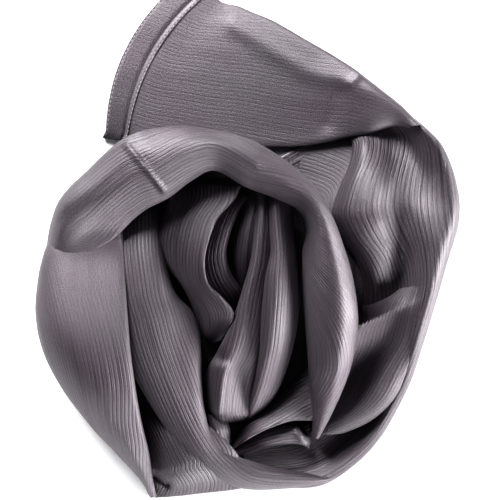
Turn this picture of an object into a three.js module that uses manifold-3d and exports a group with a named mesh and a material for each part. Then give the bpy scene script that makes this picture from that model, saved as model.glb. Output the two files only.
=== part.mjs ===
// A crinkle-satin hijab, a long rectangular scarf, gathered into a loose rope and coiled on a table as a rosette.
// The hemmed end lies out to the back left, the rope runs once round the right, the front and the left, rolls over
// the top as the crown, and its last turns stand up in the middle. Every stretch of the cloth that shows is an
// open wall that arches over the layers beneath it, and the layers that don't show are one rounded core.
// Millimetres, +X right, +Y to the back, +Z up. The underside rests on the table.
import * as THREE from "three";
import { mergeVertices } from "three/addons/utils/BufferGeometryUtils.js";
import Module from "manifold-3d";

const wasm = await Module();
wasm.setup();

// Driving dimensions.
const CLOTH = 1.6; // wall of one stretch, which is two or three plies of the gathered cloth
const CLEAR = 0.35; // gap kept between two stretches that touch
const CLOTH_SHARE = 0.3; // the wall of a narrow stretch, as a share of half its width
const HEM = 1; // thickness of the turned hem
const HEM_SHARE = 0.077; // its width, 16 mm, as a share of the run of the tail end
const HEM_STEPS = 2; // mesh steps across the hem
const CURL = 5; // how far a stretch's edge rolls back under itself
const CURL_SHARE = 0.35; // the same on a narrow stretch, as a share of half its width
const EDGE_SHARE = 0.35; // height of a stretch's widest line, as a share of the way from its foot to its crest
const FLATTENING = 1.5; // how fast a fuller arch trades its round shoulders for an even spread of its stations
const FOOT_STEPS = 2; // mesh steps down each rolled edge
const PLEAT_STEPS = 2; // mesh steps across one pleat, up to its crest and down
const PLEAT_RISE = 0.9; // height of a pleat's crest over the skin
const CORE_TOP = 14; // height of the hidden layers
const CORE_LAYERS = 3; // folded plies that show at the core's rim
const CORE_AROUND = 36; // mesh steps round it
const PLY_INSET = 2; // how far each ply lies in from the one below it
const PLY_FOOT = 1.6; // how far a ply's fold is drawn in where it meets the ply below
const PLY_BELLY = 0.5; // height of the fold's widest line, as a share of its ply
const PLY_SHOULDER = [0.92, 1.2]; // height of its upper turn, as a share of its ply, and how far that is drawn in
const FILL_GAP = 4; // loose space between a stretch and the layers that fill it
const FILL_STEP = 3; // mesh steps of the wall to one step of the filling
const FILL_ROOT = 1; // how far those layers reach down into the core
const FILL_TURNS = [-0.75, 0, 0.75]; // where they lie across the arch, in radians from its crest
const FILL_RUN = [0.1, 0.9]; // and along its run

const SATIN = { color: 0x8a8088, roughness: 0.48, metalness: 0 };

// Catmull-Rom blend of the rows of a table at a share, 0 to 1, of its run.
function rowAt(rows, share) {
  const last = rows.length - 1;
  const place = Math.min(Math.max(share, 0), 1) * last;
  const i = Math.min(Math.floor(place), last - 1);
  const t = place - i;
  const pick = (k) => rows[Math.min(Math.max(k, 0), last)];
  const [a, b, c, d] = [pick(i - 1), pick(i), pick(i + 1), pick(i + 2)];
  return b.map(
    (_, k) =>
      0.5 *
      (2 * b[k] +
        (c[k] - a[k]) * t +
        (2 * a[k] - 5 * b[k] + 4 * c[k] - d[k]) * t * t +
        (3 * b[k] - a[k] - 3 * c[k] + d[k]) * t * t * t),
  );
}

// Distance in plan from (x, y) to a crease's line, a chain of straight pieces.
function distanceToLine(x, y, line) {
  let nearest = Infinity;
  for (let i = 1; i < line.length; i++) {
    const [ax, ay] = line[i - 1];
    const [bx, by] = line[i];
    const along = ((x - ax) * (bx - ax) + (y - ay) * (by - ay)) / ((bx - ax) ** 2 + (by - ay) ** 2);
    const t = Math.min(Math.max(along, 0), 1);
    nearest = Math.min(nearest, Math.hypot(x - ax - t * (bx - ax), y - ay - t * (by - ay)));
  }
  return nearest;
}

// The places across a section, from the left foot over the crest to the right foot: { side, down } on a rolled
// edge, where down goes from 0 at the widest line to a quarter turn at the foot, and { turn } on the arch.
function stationsAcross(archSteps) {
  const quarter = Math.PI / 2;
  const down = (side, k) => ({ side, down: (quarter * k) / FOOT_STEPS });
  const steps = [];
  for (let k = FOOT_STEPS; k > 0; k--) steps.push(down(-1, k));
  for (let k = 0; k <= archSteps; k++) steps.push({ turn: -quarter + (Math.PI * k) / archSteps });
  for (let k = 1; k <= FOOT_STEPS; k++) steps.push(down(1, k));
  return steps;
}

// A point of a stretch's skin, before its pleats: an arch between the two edges of the interpolated row, each side
// with its own fullness, and under each edge a quarter ellipse that rolls back to the foot.
function skinPoint(stretch, share, station) {
  const [lx, ly, rx, ry, leftFoot, rightFoot, crest, leftFull, rightFull, lean] = rowAt(stretch.rows, share);
  const half = Math.hypot(rx - lx, ry - ly) / 2;
  const side = station.side ?? Math.sign(station.turn || 1);
  const foot = Math.max(side < 0 ? leftFoot : rightFoot, 0);
  const widest = foot + EDGE_SHARE * (crest - foot);
  let rise = 0;
  let across;
  let z;
  if (station.side) {
    across = side * (1 - (Math.min(CURL, CURL_SHARE * half) * (1 - Math.cos(station.down))) / half);
    z = widest - (widest - foot) * Math.sin(station.down);
  } else {
    const full = side < 0 ? leftFull : rightFull;
    const round = Math.max(full, 1) ** -FLATTENING;
    const even = round * Math.sin(station.turn) + ((1 - round) * station.turn) / (Math.PI / 2);
    rise = Math.sqrt(Math.max(1 - even ** 2, 0));
    across = even + lean * rise ** 2;
    z = widest + (crest - widest) * rise ** full;
  }
  const bow = (stretch.bow ?? 0) * (1 - across ** 2) * Math.max(0, 1 - 2 * share);
  const x = (lx + rx) / 2 + (across * (rx - lx)) / 2 + (bow * (ry - ly)) / (2 * half);
  const y = (ly + ry) / 2 + (across * (ry - ly)) / 2 - (bow * (rx - lx)) / (2 * half);
  for (const { line, width, lift } of stretch.creases ?? [])
    z += lift * Math.sqrt(rise) * Math.exp(-((distanceToLine(x, y, line) / width) ** 2));
  return { point: new THREE.Vector3(x, y, z), half };
}

// A closed wall between two grids of points with the same rows and columns, the outer one first.
function closedWall(outer, inner) {
  const rows = outer.length;
  const columns = outer[0].length;
  const at = (face, i, j) => face * rows * columns + i * columns + j;
  const faces = [];
  const quad = (a, b, c, d) => faces.push(a, b, c, a, c, d);
  for (let i = 0; i + 1 < rows; i++) {
    for (let j = 0; j + 1 < columns; j++) {
      quad(at(0, i, j), at(0, i, j + 1), at(0, i + 1, j + 1), at(0, i + 1, j));
      quad(at(1, i, j), at(1, i + 1, j), at(1, i + 1, j + 1), at(1, i, j + 1));
    }
    quad(at(0, i, 0), at(0, i + 1, 0), at(1, i + 1, 0), at(1, i, 0));
    quad(at(0, i + 1, columns - 1), at(0, i, columns - 1), at(1, i, columns - 1), at(1, i + 1, columns - 1));
  }
  for (let j = 0; j + 1 < columns; j++) {
    quad(at(0, 0, j + 1), at(0, 0, j), at(1, 0, j), at(1, 0, j + 1));
    quad(at(0, rows - 1, j), at(0, rows - 1, j + 1), at(1, rows - 1, j + 1), at(1, rows - 1, j));
  }
  return new THREE.BufferGeometry().setFromPoints([...outer.flat(), ...inner.flat()]).setIndex(faces);
}

// The skin of a stretch as a grid of { point, normal, run, thick, crest }, between two shares of its run.
function skinGrid(stretch, [from, to], along, stations) {
  const samples = [];
  for (let i = 0; i <= along; i++)
    samples.push(stations.map((station) => skinPoint(stretch, from + ((to - from) * i) / along, station)));
  const last = stations.length - 1;
  return samples.map((row, i) =>
    row.map(({ point, half }, j) => {
      const run = samples[Math.min(i + 1, along)][j].point.clone().sub(samples[Math.max(i - 1, 0)][j].point);
      const cross = row[Math.min(j + 1, last)].point.clone().sub(row[Math.max(j - 1, 0)].point);
      const crest = !stations[j].side && (j - FOOT_STEPS) % PLEAT_STEPS === 1;
      const thick = Math.min(CLOTH, CLOTH_SHARE * half);
      return { point, normal: cross.cross(run).normalize(), run: run.normalize(), thick, crest };
    }),
  );
}

// A stretch as a wall: the outer face raised at the pleats' crests, the inner face plain and one wall further in.
// grow moves every face outwards, to cut what lies beneath with a clear gap.
function wallGeometry(stretch, grow) {
  const skin = skinGrid(stretch, [0, 1], stretch.along, stationsAcross(PLEAT_STEPS * stretch.pleats));
  const face = (depth) =>
    skin.map((row, i) =>
      row.map(({ point, normal, run, thick, crest }) => {
        const end = i === 0 ? -grow : i === skin.length - 1 ? grow : 0;
        return point.clone().addScaledVector(run, end).addScaledVector(normal, depth(thick, crest));
      }),
    );
  return closedWall(
    face((_, crest) => grow + (crest ? PLEAT_RISE : 0)),
    face((thick) => -thick - grow),
  );
}

// The turned hem: a strip of the stretch's own points, moved out clear of its pleats.
function hemGeometry(stretch) {
  const arch = stationsAcross(PLEAT_STEPS * stretch.pleats).filter((station) => !station.side);
  const skin = skinGrid(stretch, [0, HEM_SHARE], HEM_STEPS, arch);
  const moved = ({ point, normal }, lift) => point.clone().addScaledVector(normal, lift);
  const face = (lift) => skin.map((row) => row.map((place) => moved(place, lift)));
  return closedWall(face(PLEAT_RISE + CLEAR + HEM), face(PLEAT_RISE + CLEAR));
}

function toSolid(geometry) {
  const merged = mergeVertices(geometry, 1e-4);
  return new wasm.Manifold(
    new wasm.Mesh({
      numProp: 3,
      vertProperties: merged.attributes.position.array,
      triVerts: new Uint32Array(merged.index.array),
    }),
  );
}

function toGeometry(solid) {
  const mesh = solid.getMesh();
  const geometry = new THREE.BufferGeometry();
  geometry.setAttribute("position", new THREE.BufferAttribute(mesh.vertProperties, 3));
  geometry.setIndex(new THREE.BufferAttribute(mesh.triVerts, 1));
  geometry.computeVertexNormals();
  return geometry;
}

// The stretches, from the top layer down, so that each is cut clear of those above it.
// along is the number of mesh steps along a stretch's run and pleats the number across it, bow how far the start of
// its run bends outwards, and hem the name of the hem sewn to that start. Creases are ridges, or troughs with a
// lift below zero, along a line seen from above. A filled stretch has layers of its own inside it.
// Columns of every table: left edge x, y, right edge x, y, left foot, right foot, crest, fullness of the arch's
// left and right sides (1 is round, less is flatter on top), and the crest's lean, as a share of half the width.
const STRETCHES = [
  {
    name: "crown_roll",
    along: 24,
    pleats: 7,
    filled: true,
    creases: [
      { width: 4, lift: -4, line: [[-132, 21], [-113, 36], [-95, 48], [-75, 62]] },
      { width: 3.5, lift: 4, line: [[-86, 73], [-73, 58], [-60, 41]] },
      { width: 4, lift: -4, line: [[-92, 68], [-80, 52], [-69, 37]] },
    ],
    rows: [
      [-142, 13, -132, 1, 10, 37, 45, 1, 2.2, 0],
      [-136, 32, -112, 0, 6, 39, 52, 1, 2.3, 0],
      [-116, 55, -94, 14, 8, 42, 60, 1, 1.8, 0],
      [-94, 76, -74, 27, 12, 44, 67, 0.9, 1.2, 0],
      [-70, 85, -56, 35, 16, 46, 71, 0.8, 1.1, 0],
      [-47, 88, -40, 49, 20, 48, 72, 0.8, 1.2, -0.1],
      [-23, 84, -24, 55, 24, 48, 74, 0.8, 1.3, -0.1],
      [1, 77, -3, 44, 28, 46, 76, 0.8, 1.3, -0.1],
      [24, 63, 17, 37, 32, 40, 77, 0.8, 1.2, -0.1],
      [43, 47, 32, 29, 34, 30, 76, 0.8, 1.2, 0],
      [55, 27, 36, 13, 34, 18, 74, 0.9, 1.3, 0],
      [67, 0, 36, -6, 20, 15, 71, 0.9, 1.1, 0],
      [74, -32, 37, -34, 15, 15, 66, 0.9, 1, 0],
      [75, -67, 39, -67, 15, 15, 58, 0.8, 1, 0],
      [66, -99, 42, -99, 15, 15, 47, 0.8, 1, 0],
      [55, -121, 45, -120, 15, 15, 36, 0.8, 1, 0],
      [47, -134, 42, -133, 15, 15, 27, 0.9, 1, 0],
    ],
  },
  {
    name: "left_outer",
    along: 12,
    pleats: 6,
    filled: true,
    rows: [
      [-71, -176, -66, -175, 0, 2, 8, 1, 1, 0],
      [-79, -163, -70, -160, 0, 8, 20, 0.9, 0.8, 0.1],
      [-96, -143, -72, -142, 0, 20, 35, 0.8, 0.7, 0.15],
      [-117, -120, -76, -120, 0, 26, 45, 0.8, 0.65, 0.15],
      [-134, -98, -80, -97, 0, 28, 51, 0.8, 0.65, 0.15],
      [-147, -71, -83, -71, 0, 30, 55, 0.8, 0.65, 0.15],
      [-152, -44, -85, -43, 0, 30, 56, 0.8, 0.65, 0.15],
      [-150, -16, -87, -15, 0, 30, 53, 0.8, 0.65, 0.15],
      [-144, 4, -88, 6, 0, 30, 47, 0.9, 0.7, 0.1],
      [-138, 17, -90, 20, 0, 28, 40, 1, 0.8, 0],
    ],
  },
  {
    name: "inner_left",
    along: 10,
    pleats: 5,
    rows: [
      [-8, 55, -47, 52, 28, 20, 42, 0.8, 1, 0],
      [-11, 38, -55, 34, 30, 20, 50, 0.8, 1, 0],
      [-25, 15, -63, 15, 30, 18, 55, 0.7, 1.2, 0.1],
      [-31, -4, -61, -4, 30, 16, 56, 0.7, 1.3, 0.15],
      [-27, -24, -46, -23, 26, 15, 53, 0.7, 1.4, 0.15],
      [-15, -38, -39, -39, 22, 15, 46, 0.7, 1.4, 0.15],
      [-13, -49, -34, -54, 18, 15, 38, 0.7, 1.3, 0.1],
      [-18, -63, -28, -64, 15, 15, 29, 0.9, 1, 0],
    ],
  },
  {
    name: "inner_crescent",
    along: 7,
    pleats: 3,
    rows: [
      [-6, 47, -17, 44, 15, 15, 34, 0.8, 1.1, 0],
      [-13, 25, -26, 24, 15, 15, 42, 0.8, 1.1, 0],
      [-18, 6, -32, 4, 15, 15, 45, 0.8, 1.1, 0],
      [-16, -13, -33, -13, 15, 15, 44, 0.8, 1.1, 0],
      [-9, -26, -25, -29, 15, 15, 39, 0.8, 1.1, 0],
      [-6, -35, -16, -39, 15, 15, 31, 0.9, 1, 0],
    ],
  },
  {
    name: "centre_tongue",
    along: 10,
    pleats: 4,
    creases: [
      { width: 3, lift: -3, line: [[-29, -62], [-20, -76]] },
      { width: 4, lift: 3, line: [[-18, -83], [-20, -98], [-22, -114]] },
    ],
    rows: [
      [13, 44, 6, 44, 15, 15, 34, 1, 1, 0],
      [14, 14, 6, 14, 15, 15, 40, 1, 1, 0],
      [11, -13, 0, -11, 15, 15, 43, 1, 1, 0],
      [8, -39, -8, -37, 15, 15, 44, 1, 1, 0],
      [6, -65, -18, -65, 15, 15, 43, 1, 1.1, 0],
      [4, -85, -30, -83, 15, 15, 41, 0.9, 1.1, 0],
      [0, -104, -32, -103, 15, 15, 38, 0.8, 1, 0],
      [-4, -116, -27, -117, 15, 15, 33, 0.7, 0.8, 0],
      [-10, -122, -18, -122, 15, 15, 26, 0.7, 0.7, 0],
    ],
  },
  {
    name: "centre_ridge",
    along: 10,
    pleats: 4,
    rows: [
      [26, 40, 19, 40, 15, 15, 40, 1, 1, 0],
      [29, 20, 17, 20, 15, 15, 48, 1, 1, 0],
      [30, 0, 15, 0, 15, 15, 51, 1, 1, 0],
      [33, -23, 12, -21, 15, 15, 51, 0.8, 1, 0.1],
      [35, -46, 10, -46, 15, 15, 48, 0.8, 1, 0.1],
      [32, -71, 7, -71, 15, 15, 43, 1, 1, 0],
      [23, -92, 4, -92, 15, 15, 38, 1.1, 0.9, -0.1],
      [10, -109, 1, -110, 15, 15, 32, 1.1, 0.9, -0.1],
      [3, -120, -2, -120, 15, 15, 26, 1, 1, 0],
    ],
  },
  {
    name: "inner_dark",
    along: 5,
    pleats: 2,
    rows: [
      [4, 45, -6, 45, 15, 15, 31, 1, 1, 0],
      [5, 23, -11, 24, 15, 15, 37, 1, 1, 0],
      [3, 5, -16, 5, 15, 15, 38, 1, 1.2, 0],
      [-2, -13, -16, -13, 15, 15, 34, 1, 1.2, 0],
      [-5, -25, -10, -24, 15, 15, 27, 1, 1, 0],
    ],
  },
  {
    name: "left_inner",
    along: 15,
    pleats: 6,
    creases: [
      { width: 5, lift: -7, line: [[-59, -3], [-52, -35], [-47, -66]] },
    ],
    rows: [
      [-63, 32, -91, 30, 15, 15, 32, 1, 1, 0],
      [-63, 4, -92, 4, 15, 15, 42, 1, 1, 0],
      [-56, -21, -91, -25, 15, 15, 46, 0.9, 1.1, 0.1],
      [-44, -44, -89, -53, 15, 15, 47, 0.8, 1.1, 0.15],
      [-35, -69, -85, -79, 15, 16, 47, 0.7, 1.1, 0.15],
      [-33, -95, -74, -99, 15, 18, 45, 0.8, 1.2, 0.1],
      [-31, -116, -60, -118, 15, 20, 41, 0.9, 1.3, 0],
      [-25, -131, -47, -134, 15, 20, 37, 1, 1.3, 0],
      [-13, -144, -30, -151, 15, 12, 32, 1.1, 1.2, 0],
      [8, -151, -7, -167, 17, 0, 28, 1.3, 0.9, -0.1],
      [34, -156, 26, -169, 18, 0, 25, 1.4, 0.9, -0.1],
      [59, -158, 56, -164, 18, 0, 21, 1.2, 0.9, 0],
    ],
  },
  {
    name: "bottom_fold_lower",
    along: 6,
    pleats: 3,
    creases: [
      { width: 3.5, lift: -6, line: [[40, -123], [42, -135]] },
      { width: 3, lift: 2.5, line: [[32, -125], [37, -133], [42, -138]] },
    ],
    rows: [
      [-13, -141, -14, -145, 15, 15, 18, 1, 1, 0],
      [-4, -135, -4, -143, 15, 15, 23, 1, 0.9, 0],
      [9, -128, 10, -141, 15, 15, 27, 1, 0.8, 0],
      [23, -122, 24, -139, 15, 15, 29, 1, 0.8, 0],
      [34, -120, 35, -138, 15, 15, 29, 1, 0.8, 0],
      [45, -120, 44, -139, 15, 15, 27, 1, 0.8, 0],
    ],
  },
  {
    name: "bottom_fold_upper",
    along: 6,
    pleats: 4,
    creases: [
      { width: 4, lift: -5, line: [[36, -100], [39, -118]] },
    ],
    rows: [
      [-13, -136, -15, -142, 15, 15, 21, 1, 1, 0],
      [-3, -125, -5, -134, 15, 15, 26, 1, 0.9, 0.1],
      [10, -113, 8, -127, 15, 15, 30, 1, 0.8, 0.1],
      [24, -101, 23, -122, 15, 15, 33, 1.2, 0.8, 0.1],
      [36, -91, 35, -119, 15, 15, 34, 1.2, 0.8, 0.1],
      [44, -85, 45, -118, 15, 15, 33, 1.2, 0.8, 0.1],
    ],
  },
  {
    name: "small_fold",
    along: 4,
    pleats: 2,
    rows: [
      [-16, -122, -30, -120, 15, 15, 22, 1, 1, 0],
      [-11, -127, -27, -129, 15, 15, 26, 1, 1, 0],
      [-10, -134, -21, -137, 15, 15, 24, 1, 1, 0],
      [-12, -139, -17, -141, 15, 15, 20, 1, 1, 0],
    ],
  },
  {
    name: "lower_right",
    along: 12,
    pleats: 6,
    creases: [
      { width: 5, lift: 4, line: [[53, -125], [69, -117], [87, -106], [100, -94], [111, -71], [117, -48]] },
      { width: 8, lift: -8, line: [[107, -97], [91, -119], [67, -136], [35, -145], [1, -145]] },
      { width: 9, lift: -8, line: [[85, -50], [88, -70], [81, -88], [69, -105]] },
    ],
    rows: [
      [136, -11, 120, -15, 0, 27, 40, 0.7, 1.5, -0.2],
      [133, -27, 101, -32, 0, 28, 42, 0.7, 1.5, -0.3],
      [125, -57, 75, -51, 0, 24, 43, 0.7, 1.4, -0.35],
      [118, -79, 71, -75, 0, 17, 41, 0.7, 1.2, -0.35],
      [109, -104, 62, -102, 0, 15, 39, 0.7, 1, -0.3],
      [94, -129, 49, -127, 0, 15, 35, 0.8, 1, -0.25],
      [75, -150, 40, -139, 0, 15, 30, 0.8, 1.2, -0.2],
      [53, -164, 25, -139, 0, 15, 26, 0.9, 1.5, -0.2],
      [30, -161, 8, -142, 14.7, 15, 23, 1, 1.3, 0],
      [6, -157, -11, -145, 14.7, 15, 22, 1, 1.1, 0],
    ],
  },
  {
    name: "tail_end",
    along: 11,
    pleats: 6,
    bow: 13,
    hem: "tail_hem",
    creases: [
      { width: 6, lift: 3, line: [[-11, 159], [15, 142], [39, 127], [70, 117], [88, 110], [106, 100]] },
      { width: 3, lift: 2.5, line: [[71, 117], [79, 126]] },
      { width: 6, lift: -2.5, line: [[61, 112], [55, 90]] },
    ],
    rows: [
      [-49, 194, -105, 81, 0, 0, 6, 0.6, 0.6, 0],
      [-20, 177, -79, 77, 0, 0, 11, 0.6, 0.6, 0],
      [1, 170, -36, 74, 0, 4, 17, 0.7, 0.6, 0],
      [28, 156, 8, 73, 0, 14, 26, 0.9, 0.6, 0],
      [53, 142, 39, 73, 0, 22, 33, 1.1, 0.6, 0],
      [74, 129, 68, 78, 0, 26, 39, 1.2, 0.7, 0],
      [93, 114, 87, 82, 0, 29, 43, 1.1, 0.7, 0],
      [108, 101, 101, 86, 0, 31, 45, 0.9, 0.8, 0],
      [119, 91, 111, 88, 2, 33, 42, 0.8, 0.8, 0],
    ],
  },
  {
    name: "right_slope",
    along: 10,
    pleats: 6,
    filled: true,
    creases: [
      { width: 9, lift: -13, line: [[93, 43], [100, 25], [107, 4], [108, -18], [101, -36]] },
    ],
    rows: [
      [84, 76, 75, 73, 19, 17, 26, 2, 1.5, 0],
      [102, 61, 71, 59, 18, 16, 33, 2.3, 1, 0.1],
      [124, 43, 62, 42, 17, 15, 39, 2.3, 1, 0.15],
      [145, 26, 57, 25, 4, 15, 43, 1.5, 1, 0.1],
      [142, 12, 63, 10, 0, 15, 45, 0.75, 0.9, 0],
      [138, -4, 74, -3, 0, 15, 44, 0.7, 0.9, 0],
      [133, -21, 79, -18, 0, 15, 38, 0.7, 1.2, -0.1],
      [129, -36, 81, -34, 0, 15, 29, 0.8, 1.4, -0.2],
      [125, -50, 85, -48, 0, 15, 20, 0.8, 1.5, -0.2],
    ],
  },
  {
    name: "upper_right",
    along: 8,
    pleats: 4,
    creases: [
      { width: 2.5, lift: -3, line: [[110, 93], [122, 79], [131, 64], [139, 50]] },
    ],
    rows: [
      [106, 101, 81, 81, 8, 16, 31, 0.8, 1.6, -0.4],
      [128, 82, 88, 69, 0, 16, 43, 0.8, 2.2, -0.5],
      [138, 65, 90, 56, 0, 15, 46, 0.8, 2.3, -0.5],
      [145, 48, 103, 45, 0, 15, 44, 0.8, 2.2, -0.5],
      [148, 35, 123, 32, 0, 15, 39, 0.8, 2, -0.45],
      [147, 26, 137, 25, 0, 15, 32, 0.8, 1.8, -0.4],
    ],
  },
  {
    name: "back_layer",
    along: 6,
    pleats: 2,
    rows: [
      [13, 81, 4, 72, 15, 15, 22, 1, 1, 0],
      [38, 88, 24, 59, 15, 15, 26, 1, 1, 0],
      [68, 89, 38, 44, 15, 15, 27, 1, 1, 0],
      [95, 82, 48, 30, 15, 15, 26, 1, 1, 0],
      [79, 52, 54, 21, 15, 15, 22, 1, 1, 0],
      [68, 31, 58, 16, 15, 15, 19, 1, 1, 0],
    ],
  },
  {
    name: "bottom_left",
    along: 8,
    pleats: 3,
    creases: [
      { width: 9, lift: -7, line: [[-76, -103], [-65, -120], [-48, -140], [-32, -152]] },
      { width: 3.5, lift: -7, line: [[-68, -159], [-58, -164]] },
    ],
    rows: [
      [-67, -91, -84, -95, 15, 15, 17, 1, 1, 0],
      [-51, -113, -82, -115, 15, 15, 20, 1, 1, 0],
      [-35, -133, -79, -136, 15, 15, 24, 1, 1, 0],
      [-24, -147, -75, -156, 15, 8, 27, 1, 0.9, 0],
      [-18, -154, -70, -174, 15, 0, 26, 1, 0.8, 0],
      [-13, -160, -53, -173, 15, 0, 24, 1, 0.8, 0],
      [-7, -165, -31, -169, 12, 0, 19, 1, 0.8, 0],
    ],
  },
];

// Hidden layers: rings round the rosette's middle, one scallop for each folded ply, closed flat above and below.
const CORE_CENTRE = [-2, -45];
// Columns: bearing in degrees, reach.
const CORE_REACH = [
  [0, 119], [20, 134], [40, 154], [60, 158], [80, 119], [100, 115],
  [120, 128], [140, 140], [160, 140], [180, 138], [200, 130], [220, 118],
  [240, 106], [260, 102], [280, 105], [300, 118], [320, 118], [340, 116],
];

function coreGeometry() {
  const around = CORE_AROUND;
  const ply = CORE_TOP / CORE_LAYERS;
  const [shoulder, drawnIn] = PLY_SHOULDER;
  // Columns: height, inset from the core's reach.
  const profile = [];
  for (let k = 0; k < CORE_LAYERS; k++) {
    const inset = PLY_INSET * k;
    profile.push([k * ply, inset + PLY_FOOT], [(k + PLY_BELLY) * ply, inset]);
    profile.push([(k + shoulder) * ply, inset + drawnIn]);
  }
  profile.push([CORE_TOP, PLY_INSET * (CORE_LAYERS + 1)]);
  const reaches = [...CORE_REACH, CORE_REACH[0]].map(([, reach]) => [reach]);
  const points = [];
  for (const [z, inset] of profile)
    for (let k = 0; k < around; k++) {
      const bearing = (2 * Math.PI * k) / around;
      const [reach] = rowAt(reaches, k / around);
      points.push(
        new THREE.Vector3(
          CORE_CENTRE[0] + (reach - inset) * Math.cos(bearing),
          CORE_CENTRE[1] + (reach - inset) * Math.sin(bearing),
          z,
        ),
      );
    }
  const faces = [];
  for (let i = 0; i + 1 < profile.length; i++)
    for (let k = 0; k < around; k++) {
      const [a, b] = [i * around + k, i * around + ((k + 1) % around)];
      faces.push(a, b, b + around, a, b + around, a + around);
    }
  for (const [ring, z] of [[0, 0], [profile.length - 1, CORE_TOP]]) {
    const middle = points.push(new THREE.Vector3(...CORE_CENTRE, z)) - 1;
    for (let k = 0; k < around; k++) {
      const [a, b] = [ring * around + k, ring * around + ((k + 1) % around)];
      faces.push(middle, ...(ring ? [a, b] : [b, a]));
    }
  }
  return new THREE.BufferGeometry().setFromPoints(points).setIndex(faces);
}

// The layers that fill a stretch from inside, up to a gap under its wall.
function fillingGeometry(stretch) {
  const stations = FILL_TURNS.map((turn) => ({ turn }));
  const skin = skinGrid(stretch, FILL_RUN, Math.ceil(stretch.along / FILL_STEP), stations);
  const top = skin.map((row) =>
    row.map(({ point, normal }) => {
      const inside = point.clone().addScaledVector(normal, -CLOTH - FILL_GAP);
      return inside.setZ(Math.max(inside.z, CORE_TOP));
    }),
  );
  return closedWall(
    top,
    top.map((row) => row.map((point) => point.clone().setZ(CORE_TOP - FILL_ROOT))),
  );
}

const rosette = new THREE.Group();
const above = [];

function addMesh(name, solid) {
  const mesh = new THREE.Mesh(toGeometry(solid), new THREE.MeshStandardMaterial(SATIN));
  mesh.name = name;
  rosette.add(mesh);
}

// A solid cut clear of the stretches above it. What a cut parts from its largest piece is left out.
function cutClear(solid) {
  const cutters = above.filter((cutter) => solid.intersect(cutter).volume() > 0);
  if (!cutters.length) return solid;
  const rest = cutters.reduce((left, cutter) => left.subtract(cutter), solid);
  return rest.decompose().sort((a, b) => b.volume() - a.volume())[0];
}

let core = toSolid(coreGeometry());
for (const stretch of STRETCHES) {
  if (stretch.hem) addMesh(stretch.hem, cutClear(toSolid(hemGeometry(stretch))));
  addMesh(stretch.name, cutClear(toSolid(wallGeometry(stretch, 0))));
  above.push(toSolid(wallGeometry(stretch, CLEAR)), toSolid(wallGeometry(stretch, 0)));
  if (stretch.filled) core = core.add(toSolid(fillingGeometry(stretch)));
}
addMesh("hidden_layers", cutClear(core));

// The origin is under the middle of the whole object.
const box = new THREE.Box3().setFromObject(rosette);
const middle = box.getCenter(new THREE.Vector3());
rosette.position.set(-middle.x, -middle.y, -box.min.z);

export default rosette;
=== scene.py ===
import bmesh
import bpy
import numpy as np
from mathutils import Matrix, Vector


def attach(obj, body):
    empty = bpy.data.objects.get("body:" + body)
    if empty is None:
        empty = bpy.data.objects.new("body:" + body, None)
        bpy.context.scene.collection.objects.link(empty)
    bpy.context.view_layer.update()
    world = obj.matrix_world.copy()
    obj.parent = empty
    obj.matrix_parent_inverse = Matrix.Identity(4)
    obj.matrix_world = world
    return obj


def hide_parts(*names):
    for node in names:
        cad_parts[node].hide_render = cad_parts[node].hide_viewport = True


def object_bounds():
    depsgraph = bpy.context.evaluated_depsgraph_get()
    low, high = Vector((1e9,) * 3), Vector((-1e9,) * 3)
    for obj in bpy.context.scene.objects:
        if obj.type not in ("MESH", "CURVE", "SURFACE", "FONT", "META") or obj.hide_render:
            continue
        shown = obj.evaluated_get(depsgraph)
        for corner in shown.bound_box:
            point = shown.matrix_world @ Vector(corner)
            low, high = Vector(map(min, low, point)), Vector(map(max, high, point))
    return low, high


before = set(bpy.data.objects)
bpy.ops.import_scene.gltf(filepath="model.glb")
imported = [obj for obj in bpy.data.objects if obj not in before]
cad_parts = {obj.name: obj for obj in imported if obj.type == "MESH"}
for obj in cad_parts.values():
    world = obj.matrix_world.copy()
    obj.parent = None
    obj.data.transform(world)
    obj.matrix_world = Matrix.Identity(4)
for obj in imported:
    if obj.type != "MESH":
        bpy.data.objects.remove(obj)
cad_low, cad_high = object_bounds()

MM = 0.001

# -------------------------------------------------------------------------
# Hidden layers: the turns of the rope that lie under the others, flat on the table and folded over each other at
# the rim. The same satin as the rest of the scarf, laid by hand.
# -------------------------------------------------------------------------
# The middle of the whole scarf in the coordinates of the tables of rows, in millimetres.
ROWS_MIDDLE = np.array([-1.676, 9.386])
LAYOUT_SHIFT = np.append((np.array(cad_low)[:2] + np.array(cad_high)[:2]) / 2 / MM - ROWS_MIDDLE, 0)
RIM_CENTRE = np.array([-2.0, -45.0])
# Reach of the rim from its centre, one for each 20 degrees from +X towards +Y.
RIM_REACH = [119, 134, 154, 158, 119, 115, 128, 140, 140, 138, 130, 118, 106, 102, 105, 118, 118, 116]
RIM_TOP = 9.0
RIM_PLIES = 3
RIM_UP = 0.7  # share of the skin that climbs the rim; the rest runs in to the centre
RIM_INSET = 3.2
RIM_STEP_IN = 2.0  # how far each ply lies in from the one below it
RIM_BULGE = 1.9
RIM_WAVER = 0.06
RIM_HOLE = 2  # radius of the last ring, at the centre
RIM_RINGS = 90
RIM_AROUND = 540
RIM_WEAVE = (0.12, 0.1)  # metres of cloth to a radian round the rim, and from its foot to its centre


def bells(at, step, count):
    """Cubic B-spline weight of each place for each of count + 3 knots that lie a step apart, from one step
    before zero: 2/3 - d^2 + d^3/2 within one step of the knot, (2 - d)^3 / 6 within two, and none beyond."""
    d = np.abs(np.asarray(at)[:, None] / step - np.arange(-1, count + 2)[None, :])
    return np.where(d < 1, 2 / 3 - d**2 + d**3 / 2, np.where(d < 2, (2 - d) ** 3 / 6, 0))


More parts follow.
